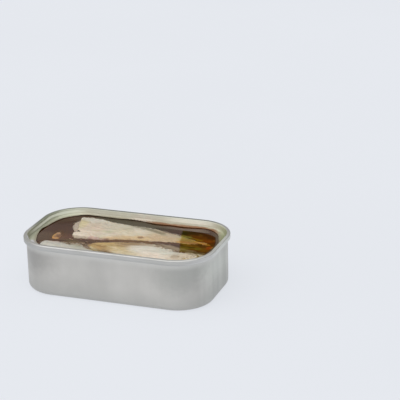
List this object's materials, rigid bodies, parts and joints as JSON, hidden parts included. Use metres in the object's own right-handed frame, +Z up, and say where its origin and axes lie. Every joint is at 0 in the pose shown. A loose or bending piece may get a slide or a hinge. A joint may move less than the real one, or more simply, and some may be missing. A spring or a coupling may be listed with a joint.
{
  "type": "sardine tin",
  "caption": "Opened oblong tin of sardines in oil, with the seamed rim and torn ledge that its pull-off lid left.",
  "frame": {"origin": "centre of the bounding box in plan, at the foot the tin stands on", "axes": "+X along the tin's length, +Y across it towards the far long side in the picture, +Z up out of the opening"},
  "size_m": [0.104, 0.06, 0.028],
  "materials": {
    "tin_body": "satin drawn sheet",
    "lid_ring": "satin sheet with a thin cream lacquer inside",
    "oil": "amber oil, glossy",
    "fish_rear": "cooked pale flesh, moist",
    "fish_front": "cooked golden flesh, moist",
    "fish_left": "cooked silvery flesh, moist",
    "fish_scrap": "amber scrap of skin, wet with oil"
  },
  "bodies": {
    "root": {"tin_body": "tin_body", "lid_ring": "lid_ring", "oil": "oil", "fish_rear": "fish_rear", "fish_front": "fish_front", "fish_left": "fish_left", "fish_scrap": "fish_scrap"}
  },
  "joints": []
}
